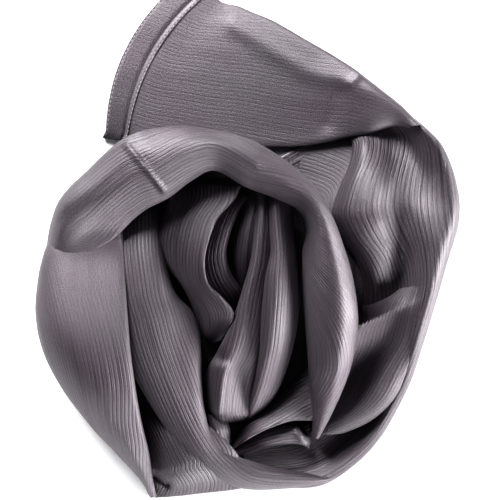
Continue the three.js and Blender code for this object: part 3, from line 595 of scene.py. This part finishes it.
stitch_places = []
for reach in STITCH_ROWS:
    line, line_normal = (grid[1] for grid in tail_surface(np.array([reach - 0.5, reach, reach + 0.5]), 400))
    walked = np.concatenate([[0], np.cumsum(np.linalg.norm(np.diff(line, axis=0), axis=1))])
    at = np.arange(STITCH_MARGIN, walked[-1] - STITCH_MARGIN, STITCH_PITCH)
    spot, normal = (
        np.stack([np.interp(at, walked, grid[:, k]) for k in range(3)], -1) for grid in (line, line_normal)
    )
    ahead = np.stack([np.interp(at + 0.5, walked, line[:, k]) for k in range(3)], -1) - spot
    ahead /= np.linalg.norm(ahead, axis=1, keepdims=True)
    lift = hem_height(np.array([reach]))[0] + STITCH_OVER
    stitch_places.append((spot + normal * lift + LAYOUT_SHIFT, ahead, normal))
stitches = oval_stitches("hem_stitches", *(np.concatenate(parts) for parts in zip(*stitch_places)))
thread, thread_shader, thread_tree, thread_add = node_tree("hem_thread")
thread_place = thread_add("TexCoord").outputs["Object"]
thread_noise = thread_add("TexNoise", {0: thread_place, "Scale": 900.0, "Detail": 1.0}).outputs["Fac"]
thread_mix = thread_add("Mix", {0: thread_noise, 6: THREAD_DARK, 7: THREAD_LIGHT}, data_type="RGBA")
thread_tree.links.new(thread_mix.outputs[2], thread_shader.inputs["Base Color"])
thread_bump = thread_add("Bump", {"Height": thread_noise, "Distance": 0.0001, "Strength": 0.6})
thread_tree.links.new(thread_bump.outputs[0], thread_shader.inputs["Normal"])
thread_shader.inputs["Roughness"].default_value = 0.5
stitches.data.materials.append(thread)
for sewn in (hem, stitches):
    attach(sewn, "root")

finish_cloth(tail_end_piece, ["tail_end"])

# -------------------------------------------------------------------------
# Lower right fold: the fold that comes out of the deep pocket and runs down to the front.
# Gathered satin, laid on the right turn, whose rim it runs into.
# -------------------------------------------------------------------------
# Columns: x0, y0, x1, y1, foot0, foot1, nine heights.
LOWER_RIGHT_ROWS = [
    [78.1, -39.8, 127, -8.4, 10, 10, 12, 12, 12, 12, 12, 14, 22, 32, 36],
    [75.1, -46.7, 125.4, -18.2, 12, 13, 17, 17, 17.5, 17.5, 18, 21, 30.5, 37, 38.5],
    [71.8, -52.8, 122.6, -30.1, 14, 13, 30, 32, 33, 31.5, 28.5, 28, 31.5, 36.8, 38.6],
    [70.3, -56.2, 120.5, -37.8, 14, 12, 33, 35, 36, 35, 32.5, 31, 33.5, 37.3, 38.8],
    [69.6, -61.9, 118.4, -49, 14, 12, 31, 31, 30.5, 30, 29, 29, 32, 36.5, 38.3],
    [67.6, -72.6, 116.4, -61.7, 14, 12, 27, 25, 23, 23, 24, 27, 31, 35.5, 37.3],
    [65.6, -83.3, 113, -74.4, 14, 13, 24, 22, 20, 20, 23, 28, 33, 35.3, 35.5],
    [62.1, -93.9, 108.9, -87.2, 14, 14, 23, 21, 20, 21, 26, 32, 35, 34, 32],
    [57.8, -104.3, 104.2, -100, 14, 14, 26, 25, 24, 27, 31, 34.5, 34.5, 31, 28.5],
    [52.9, -114.3, 95.9, -111.5, 14, 14, 25, 25, 25, 28, 30.5, 33, 33, 29.5, 25],
    [48, -122.8, 83.5, -121.7, 14, 14, 24, 25, 26, 28.5, 30.5, 31, 29.5, 25, 19],
    [42.4, -130.1, 67.4, -129, 14, 14, 20, 21, 23, 25, 26, 25.5, 23, 19, 15],
]
lower_right_piece = stretch("lower_right_fold", LOWER_RIGHT_ROWS, seed=6, anchor=(1,))
finish_cloth(lower_right_piece, ["lower_right"])

# -------------------------------------------------------------------------
# Small folds at the front: three short folds of the gathered cloth between the tongue and the front turn.
# Satin, pinched by hand; they lie on the hidden layers.
# -------------------------------------------------------------------------
# Columns: x0, y0, x1, y1, foot0, foot1, nine heights.
SMALL_FOLD_ROWS = [
    [-33.3, -114.7, -19.8, -118.2, 8, 8, 18, 20, 22, 23, 24, 24, 23, 21, 18],
    [-31.1, -122.9, -14.9, -124.5, 8, 8, 22, 24, 26, 28, 28, 27, 25, 23, 20],
    [-26.9, -131.5, -13.5, -132.4, 8, 8, 21, 23, 25, 27, 27, 25, 23, 21, 18],
    [-18.4, -139.7, -12.8, -139.9, 6, 6, 14, 14, 15, 16, 16, 15, 14, 13, 12],
]
small_fold_piece = stretch("small_front_fold", SMALL_FOLD_ROWS, seed=7)
finish_cloth(small_fold_piece, ["small_fold"])

# Columns: x0, y0, x1, y1, foot0, foot1, nine heights.
BOTTOM_FOLD_UPPER_ROWS = [
    [45.3, -77.9, 47.9, -119.9, 10, 10, 18, 19, 20, 21, 22, 24, 26, 27, 26],
    [35.4, -87.8, 38, -119.7, 10, 12, 17, 19, 21, 23, 25, 27, 29, 30, 28],
    [24.8, -98.6, 28.1, -120.3, 10, 12, 15, 17, 20, 23, 26, 29, 31, 32, 30],
    [12.8, -109.2, 16.9, -123.8, 10, 12, 14, 17, 20, 23, 26, 29, 31, 32, 30],
    [1.4, -118.5, 5.6, -128.8, 10, 12, 14, 16, 19, 22, 25, 28, 30, 31, 29],
    [-7.1, -127.7, -4.2, -134.8, 10, 12, 14, 15, 17, 19, 22, 24, 26, 26, 24],
    [-13.5, -137.8, -12.1, -140.4, 8, 8, 12, 12, 13, 14, 15, 16, 16, 16, 15],
]
bottom_fold_upper_piece = stretch("front_fold_upper", BOTTOM_FOLD_UPPER_ROWS, seed=8)
finish_cloth(bottom_fold_upper_piece, ["bottom_fold_upper"])

# Columns: x0, y0, x1, y1, foot0, foot1, nine heights.
BOTTOM_FOLD_LOWER_ROWS = [
    [42.4, -134.4, 41.7, -140.1, 8, 8, 20, 21, 22, 23, 23, 23, 22, 21, 19],
    [33.2, -123.1, 34.7, -137.2, 8, 8, 20, 22, 25, 27, 28, 27, 25, 23, 20],
    [21.2, -123.2, 22.6, -137.3, 8, 8, 18, 20, 22, 24, 25, 25, 24, 22, 19],
    [8.5, -127.6, 9.9, -140.2, 8, 8, 16, 18, 20, 22, 23, 23, 22, 20, 17],
    [-2.8, -133.4, -0.7, -143.9, 8, 8, 14, 16, 18, 19, 20, 20, 19, 17, 15],
    [-11.4, -139.2, -9.2, -145.5, 6, 6, 12, 13, 14, 15, 16, 16, 15, 14, 13],
    [-17.1, -141.5, -16.4, -144.4, 4, 4, 9, 9, 10, 10, 11, 11, 10, 10, 9],
]
# Columns: width, lift, line.
BOTTOM_FOLD_LOWER_CREASES = [
    (3.5, -6, [(40.2, -122.8), (42.3, -134.8)]),
    (3, 2.5, [(32.4, -125.5), (37.4, -132.5), (41.6, -138.2)]),
]
bottom_fold_lower_piece = stretch(
    "front_fold_lower", BOTTOM_FOLD_LOWER_ROWS, creases=BOTTOM_FOLD_LOWER_CREASES, seed=9
)
finish_cloth(bottom_fold_lower_piece, ["bottom_fold_lower"])

# -------------------------------------------------------------------------
# Left inner turn: the second turn on the left, which runs down and round the front over the low left turn.
# Gathered satin, laid on the hidden layers and partly under the left outer turn.
# -------------------------------------------------------------------------
# Columns: x0, y0, x1, y1, foot0, foot1, nine heights.
LEFT_INNER_ROWS = [
    [-63.6, 33.9, -96.1, 31.8, 15, 15, 22, 27, 30, 31, 30, 28, 26, 24, 22],
    [-62, 19.7, -96.5, 16.9, 15, 15, 27, 33, 37, 37, 36, 34, 32, 30, 28],
    [-61.2, 3.5, -96.3, 0, 15, 15, 31, 38, 42, 43, 42, 40, 37, 34, 32],
    [-57.6, -14.1, -95.5, -15.4, 15, 15, 32, 40, 45, 46, 45, 43, 40, 37, 34],
    [-51.4, -31, -94, -32.3, 15, 15, 28, 37, 45, 48, 48, 46, 43, 40, 36],
    [-40.2, -43.8, -92.5, -50.5, 15, 15, 24, 30, 38, 46, 49, 48, 45, 41, 38],
    [-35.2, -57.7, -90.4, -65.9, 15, 15, 31, 36, 41, 46, 49, 48, 45, 41, 38],
    [-33.7, -71.6, -86.2, -79.9, 15, 16, 35, 40, 44, 46, 48, 48, 45, 41, 38],
    [-33, -93.3, -75.8, -99, 15, 18, 36, 41, 44, 46, 47, 46, 43, 39, 34],
    [-30.9, -115.3, -63.4, -119.8, 15, 20, 32, 38, 42, 43, 43, 41, 38, 33, 27],
    [-26, -130.9, -48.7, -138.4, 15, 18, 29, 35, 39, 40, 40, 38, 34, 29, 23],
    [-14.1, -142.5, -33.3, -155.7, 15, 12, 25, 31, 35, 36, 36, 34, 30, 25, 18],
    [8.5, -151.3, -7.1, -169, 17, 0, 21, 27, 31, 32, 32, 30, 26, 20, 12],
    [34, -156.5, 25.6, -169.5, 18, 0, 18, 24, 28, 29, 29, 28, 24, 18, 10],
    [56.7, -159.4, 52.6, -165.7, 18, 0, 16, 20, 23, 25, 25, 24, 21, 16, 9],
    [68.2, -155.5, 64.7, -159.4, 14, 0, 12, 13, 14, 15, 15, 14, 13, 11, 8],
]
left_inner_piece = stretch("left_inner_turn", LEFT_INNER_ROWS, seed=10)
finish_cloth(left_inner_piece, ["left_inner"])

# -------------------------------------------------------------------------
# Middle of the rosette: the last turns, which stand up inside the crown.
# Gathered satin; each turn is tucked behind the one to its left.
# -------------------------------------------------------------------------
# Columns: x0, y0, x1, y1, foot0, foot1, nine heights.
INNER_DARK_ROWS = [
    [-7.1, 45.2, 8.4, 42.1, 12, 12, 24, 27, 30, 32, 34, 35, 36, 36, 34],
    [-12.7, 26.9, 8.4, 30.9, 12, 12, 20, 24, 28, 32, 36, 38, 38, 36, 33],
    [-18.4, 9.9, 6.3, 14.1, 12, 12, 18, 22, 27, 32, 37, 40, 39, 36, 32],
    [-19.8, -7.1, 4.2, -2.8, 12, 12, 17, 20, 25, 30, 35, 38, 37, 34, 30],
    [-15.6, -22.7, 1.4, -18.3, 12, 12, 16, 18, 22, 26, 30, 32, 31, 29, 26],
    [-8.5, -36.9, -2.8, -34, 12, 12, 15, 16, 18, 19, 20, 20, 20, 19, 18],
]
inner_dark_piece = stretch("inner_layers", INNER_DARK_ROWS, seed=11, ribbed=0.8)
finish_cloth(inner_dark_piece, ["inner_dark"])

# Columns: x0, y0, x1, y1, foot0, foot1, nine heights.
CENTRE_RIDGE_ROWS = [
    [14, 44.8, 28.1, 43.6, 12, 12, 40, 45, 48, 50, 50, 48, 44, 38, 30],
    [13.3, 31.5, 28.9, 31.7, 12, 12, 42, 48, 52, 54, 53, 49, 43, 36, 28],
    [14, 14, 31, 14.1, 12, 12, 44, 50, 54, 55, 54, 50, 44, 36, 27],
    [14.7, -1.4, 32.4, 0, 12, 12, 46, 51, 55, 57, 56, 52, 45, 37, 27],
    [11.2, -17.4, 33.8, -17.6, 12, 12, 46, 52, 56, 58, 57, 53, 46, 37, 27],
    [9.1, -34.9, 34.5, -35.3, 12, 12, 45, 51, 56, 58, 57, 53, 46, 37, 26],
    [7.7, -53.1, 33.1, -52.2, 12, 12, 43, 49, 54, 56, 55, 51, 45, 36, 26],
    [7, -68.6, 30.3, -67, 12, 12, 40, 46, 50, 52, 51, 48, 42, 34, 24],
    [4.9, -84.2, 26.1, -82, 12, 12, 35, 40, 44, 45, 44, 41, 36, 29, 22],
    [2.1, -99.2, 20.5, -97.6, 12, 12, 30, 34, 37, 38, 37, 34, 30, 25, 20],
    [-0.7, -111.5, 12.7, -109.7, 12, 12, 24, 27, 29, 30, 29, 27, 24, 21, 18],
    [-2.1, -120.4, 2.1, -119.1, 12, 12, 17, 18, 19, 19, 19, 18, 17, 16, 15],
]
centre_ridge_piece = stretch("ridge_turn", CENTRE_RIDGE_ROWS, seed=12, ribbed=0.8)
finish_cloth(centre_ridge_piece, ["centre_ridge"])

# Columns: x0, y0, x1, y1, foot0, foot1, nine heights.
CENTRE_TONGUE_ROWS = [
    [3.5, 44.9, 16.8, 42, 12, 12, 36, 40, 43, 44, 44, 43, 42, 40, 38],
    [4.9, 31.5, 17.5, 31.5, 12, 12, 38, 43, 46, 47, 46, 44, 42, 40, 38],
    [2.8, 12.6, 18.2, 12.6, 12, 12, 40, 45, 48, 49, 48, 46, 43, 41, 39],
    [0, -8.4, 16.8, -8.4, 12, 12, 42, 46, 49, 50, 49, 47, 44, 42, 40],
    [-5.6, -28, 14, -28, 12, 12, 40, 45, 48, 49, 48, 46, 43, 41, 39],
    [-12.6, -49.1, 12.6, -50.5, 12, 12, 38, 43, 47, 48, 47, 45, 42, 40, 38],
    [-22.5, -70.2, 11.2, -70.2, 12, 12, 34, 39, 43, 45, 44, 42, 39, 37, 35],
    [-31.1, -86.1, 8.4, -85.8, 12, 12, 24, 28, 36, 42, 38, 34, 32, 31, 30],
    [-32.5, -100.3, 5.6, -100.1, 12, 12, 22, 26, 33, 41, 35, 30, 28, 27, 26],
    [-31.1, -111.7, 1.4, -112.9, 12, 12, 20, 24, 30, 38, 33, 28, 26, 25, 24],
    [-27.6, -119.1, -2.8, -119.5, 11, 11, 16, 19, 24, 30, 28, 25, 23, 22, 20],
    [-24.2, -123, -6.4, -123, 8, 8, 9, 10, 11, 12, 12, 12, 11, 10, 9],
]
# Columns: width, lift, line.
CENTRE_TONGUE_CREASES = [
    (4, -1.8, [(-29.4, -61.7), (-20.3, -76.4)]),
    (5, 2.5, [(-17.5, -82.7), (-20.3, -98.1), (-21.7, -113.5)]),
]
centre_tongue_piece = stretch(
    "tongue_turn", CENTRE_TONGUE_ROWS, creases=CENTRE_TONGUE_CREASES, seed=13, ribbed=0.8
)
finish_cloth(centre_tongue_piece, ["centre_tongue"])

# Columns: x0, y0, x1, y1, foot0, foot1, nine heights.
INNER_CRESCENT_ROWS = [
    [-16.9, 42.2, -1.4, 37.9, 12, 12, 30, 32, 34, 35, 36, 36, 36, 35, 33],
    [-29.6, 24.6, -7.7, 28.7, 12, 12, 30, 33, 36, 38, 40, 41, 41, 40, 37],
    [-36.6, 7, -14, 12.6, 12, 12, 30, 33, 36, 39, 41, 43, 43, 42, 38],
    [-39.4, -9.9, -16.8, -2.8, 12, 12, 30, 33, 37, 40, 42, 43, 43, 42, 38],
    [-35.2, -26.8, -13.3, -16.1, 12, 12, 28, 31, 35, 38, 40, 41, 41, 39, 35],
    [-25.4, -38.1, -6.3, -29.6, 12, 12, 26, 28, 31, 34, 36, 37, 36, 34, 30],
    [-15.5, -45.2, -9.9, -39.5, 12, 12, 22, 23, 24, 25, 26, 26, 26, 25, 23],
]
inner_crescent_piece = stretch("crescent_turn", INNER_CRESCENT_ROWS, seed=14, ribbed=1)
finish_cloth(inner_crescent_piece, ["inner_crescent"])

# Columns: x0, y0, x1, y1, foot0, foot1, nine heights.
INNER_LEFT_ROWS = [
    [-52.2, 46.6, -7, 44.8, 18, 18, 24, 30, 35, 39, 42, 44, 45, 45, 42],
    [-55.6, 35.2, -11.9, 34.9, 18, 18, 28, 34, 39, 43, 46, 48, 50, 51, 48],
    [-61.9, 19.7, -23, 22.3, 18, 18, 32, 37, 41, 44, 47, 49, 51, 52, 51.5],
    [-65.5, 4.9, -29.2, 6.3, 18, 18, 28, 33, 38, 42, 46, 49, 52, 54, 53.5],
    [-57.8, -11.3, -32, -9, 18, 18, 26, 30, 35, 40, 45, 49, 52, 54, 53.5],
    [-48, -24.7, -29.2, -23.6, 18, 18, 24, 28, 34, 39, 44, 48, 51, 53, 52.5],
    [-41, -38.1, -20.2, -32.7, 18, 18, 22, 26, 31, 36, 41, 45, 49, 51, 50.5],
    [-36.1, -50.9, -11.9, -43.3, 16, 18, 20, 23, 27, 31, 36, 41, 45, 47, 46.5],
    [-31.9, -61.6, -13.3, -53.3, 14, 16, 18, 20, 23, 27, 31, 36, 40, 41, 38],
    [-26.9, -66.6, -20.4, -63.4, 12, 14, 15, 16, 18, 21, 24, 28, 31, 32, 29],
]
inner_left_piece = stretch("inner_left_turn", INNER_LEFT_ROWS, seed=15, anchor=(1,), ribbed=1)
finish_cloth(inner_left_piece, ["inner_left"])

# -------------------------------------------------------------------------
# Left outer turn: the broad outer turn on the left, from the front corner up to the crown.
# Gathered satin, open below; its outer edge stands on the table.
# -------------------------------------------------------------------------
# Columns: x0, y0, x1, y1, foot0, foot1, nine heights.
LEFT_OUTER_ROWS = [
    [-71.3, -176.2, -66.3, -175.4, 0, 2, 3, 5, 6, 8, 8, 8, 7, 6, 4],
    [-78.7, -163, -68.8, -160.2, 0, 8, 7, 12, 16, 19, 20, 20, 19, 18, 15],
    [-95.9, -143.4, -71, -141.4, 0, 20, 12, 18, 24, 30, 35, 36, 36, 35, 31],
    [-116.6, -120.5, -75.6, -119.6, 0, 28, 15, 22, 30, 38, 44, 46, 46, 45, 41],
    [-133.9, -97.7, -79.3, -96.7, 0, 32, 17, 27, 37, 47, 53.5, 56, 56, 55, 51],
    [-146.7, -70.7, -82.7, -70.2, 0, 34, 20, 33, 44, 52, 56, 57, 57, 56, 53],
    [-151.8, -43.9, -85, -43.2, 0, 34, 19, 31, 41, 48, 51, 52, 52, 51, 48],
    [-150.1, -19.8, -86.7, -19.6, 0, 34, 18, 30, 39, 44, 45.5, 45.8, 45.6, 44.8, 42],
    [-146.4, -4.2, -87.6, -4.2, 0, 34, 20, 32, 38.5, 41.3, 42, 42, 41.8, 41, 38],
    [-142.1, 7.1, -88.4, 7, 0, 34, 20, 31, 37.5, 40.8, 42, 42, 41.6, 40, 36],
    [-138.9, 16.3, -89.3, 15.5, 0, 32, 16, 27, 35, 40, 42.3, 42.5, 41.5, 38, 32],
    [-135.6, 25.5, -89.4, 25.3, 0, 30, 13, 22, 31, 37, 41.5, 42, 41, 37, 30],
]
left_outer_piece = stretch(
    "left_outer_turn", LEFT_OUTER_ROWS, seed=16, anchor=(1,), fade=(0, 95), ribbed=0.6, rib=0.15
)
finish_cloth(left_outer_piece, ["left_outer"])

# -------------------------------------------------------------------------
# Crown: the rope's top turn, rolled over the back of the rosette and down its right side to a point.
# Gathered satin, the highest stretch, with a diagonal crease at the left.
# -------------------------------------------------------------------------
# Columns: x0, y0, x1, y1, foot0, foot1, nine heights.
CROWN_ROLL_ROWS = [
    [-145, -7.1, -130.9, -16.9, 6, 26, 10, 18, 26, 30, 32, 33, 33, 32, 30],
    [-143.3, 7.1, -123.2, -9.1, 6, 28, 14, 22, 31, 37, 39.5, 40.5, 41, 41, 40],
    [-140.2, 19.8, -116.1, -4.2, 6, 29, 22, 31, 39, 43.5, 43.5, 42.5, 41.8, 41.5, 41],
    [-134.8, 33, -107, 0.7, 6, 30, 34, 42, 48, 50, 47.5, 43.6, 42.3, 42, 41.5],
    [-126, 44.1, -97.2, 6.3, 8, 32, 40, 46, 52, 55, 52, 46, 43, 42.2, 41.5],
    [-113.8, 55.2, -88.8, 13.3, 8, 36, 45, 50, 55, 60, 59, 53, 46.5, 43.5, 42],
    [-102.4, 66.2, -80.3, 21.6, 10, 40, 50, 54, 58, 63, 64, 60, 54, 49, 46],
    [-91, 75.7, -71, 28.5, 12, 44, 55, 58, 62, 67, 68, 65, 60, 55, 51],
    [-80.4, 81.1, -62.5, 32.7, 14, 45, 59, 62, 66, 70, 71, 68, 63, 58, 54],
    [-69.5, 84.4, -54.8, 36.8, 16, 46, 54, 59, 64.5, 71, 73, 69.5, 65, 60, 56],
    [-46.5, 86.7, -40.2, 47.9, 20, 48, 57, 61.5, 67.5, 73, 74.5, 71.5, 66, 61, 57],
    [-22.9, 83.2, -24.3, 54.8, 24, 48, 58, 63, 68.5, 74, 75.5, 72.5, 67, 62, 58],
    [1.4, 76.2, -3.5, 43.7, 28, 46, 59, 64, 69.5, 75, 75.5, 71.5, 66, 61, 57],
    [24.2, 62.4, 16.7, 36.1, 32, 40, 60, 64, 70.5, 76, 76.5, 72.5, 67, 61, 56],
    [42.8, 46.3, 33.4, 27.8, 34, 32, 66, 69, 73, 76, 76, 71, 64, 57, 51],
    [56.1, 25.6, 39.1, 14.7, 30, 20, 62, 66, 71, 75, 74, 68, 60, 51, 44],
    [65.9, 0, 36.4, -2.1, 20, 15, 57, 62, 68, 72, 71, 65, 56, 47, 40],
    [72.4, -22.3, 36.4, -22.4, 15, 15, 52, 58, 64, 69, 68, 62, 53, 45, 38],
    [75.3, -45.3, 37.9, -45.6, 15, 15, 48, 54, 60, 64, 63, 58, 50, 43, 36],
    [73.4, -69.9, 40, -70.3, 15, 15, 43, 49, 54, 58, 57, 53, 46, 40, 33],
    [67.3, -92.5, 41.5, -91.5, 15, 15, 37, 43, 47, 50, 49, 46, 41, 36, 30],
    [57.7, -115.4, 43.7, -114.3, 15, 15, 30, 34, 37, 40, 40, 38, 35, 31, 25],
    [48.8, -132.9, 43.2, -132.3, 15, 15, 21, 24, 26, 28, 28, 27, 26, 23, 19],
]
# Columns: width, lift, line.
CROWN_ROLL_CREASES = [
    (4, -0.8, [(-132, 20.8), (-112.5, 36.1), (-95.2, 47.9), (-75, 61.8)]),
    (2.2, 2.4, [(-84.9, 72.4), (-72.4, 57.3), (-59.3, 40.7)]),
]
crown_roll_piece = stretch(
    "crown_cloth", CROWN_ROLL_ROWS, creases=CROWN_ROLL_CREASES, seed=17, fade=(90, 0), ribbed=0.65,
    anchor=(0.9, 0.9, 0.9, 0.9, 0.9, 0.9, 0.6, 0.2, -0.2, -0.5),
)
finish_cloth(crown_roll_piece, ["crown_roll"])

# -------------------------------------------------------------------------
# Table, light and camera: a plain white table, three softboxes and a long lens looking straight down.
# -------------------------------------------------------------------------
FLOOR = 6.0
FLOOR_WHITE = (0.88, 0.88, 0.88, 1)
floor_mesh = bpy.data.meshes.new("floor")
corners = [(-FLOOR, -FLOOR, 0), (FLOOR, -FLOOR, 0), (FLOOR, FLOOR, 0), (-FLOOR, FLOOR, 0)]
floor_mesh.from_pydata(corners, [], [(0, 1, 2, 3)])
floor = bpy.data.objects.new("floor", floor_mesh)
bpy.context.collection.objects.link(floor)
white, white_shader = node_tree("table_white")[:2]
white_shader.inputs["Base Color"].default_value = FLOOR_WHITE
white_shader.inputs["Roughness"].default_value = 0.7
white_shader.inputs["Specular IOR Level"].default_value = 0.2
floor_mesh.materials.append(white)

# The lamps and the camera aim at the middle of the tables of rows, at half the scarf's height.
MIDDLE = np.array([*LAYOUT_SHIFT[:2] * MM, (cad_low[2] + cad_high[2]) / 2])

# Columns: name, place from the middle in metres, size in metres, power in watts.
SOFTBOXES = [
    ("back_light", (-0.8, 1.4, 0.95), (0.8, 0.8), 135),
    ("right_light", (1.68, -0.5, 0.5), (0.8, 0.8), 130),
    ("front_light", (0.3, -1.7, 0.5), (0.9, 0.5), 56),
]
for name, place, size, power in SOFTBOXES:
    data = bpy.data.lights.new(name, "AREA")
    data.shape = "RECTANGLE"
    data.size, data.size_y = size
    data.energy = power
    lamp = bpy.data.objects.new(name, data)
    bpy.context.collection.objects.link(lamp)
    lamp.location = MIDDLE + np.array(place)
    lamp.rotation_euler = Vector([-p for p in place]).to_track_quat("-Z", "Y").to_euler()

world = bpy.data.worlds.new("studio")
bpy.context.scene.world = world
world.use_nodes = True
world.node_tree.nodes["Background"].inputs["Color"].default_value = (0.95, 0.96, 1.0, 1)
world.node_tree.nodes["Background"].inputs["Strength"].default_value = 0.36

CAMERA_DISTANCE = 1.944
camera_data = bpy.data.cameras.new("camera")
camera_data.lens = 200
camera_data.sensor_width = 36
camera_data.clip_end = 50
camera = bpy.data.objects.new("camera", camera_data)
bpy.context.collection.objects.link(camera)
camera.location = MIDDLE + np.array([0, 0, CAMERA_DISTANCE])
bpy.context.scene.camera = camera
view = bpy.context.scene.view_settings
view.view_transform = "Standard"
view.look = "Very High Contrast"
view.exposure = -1.22
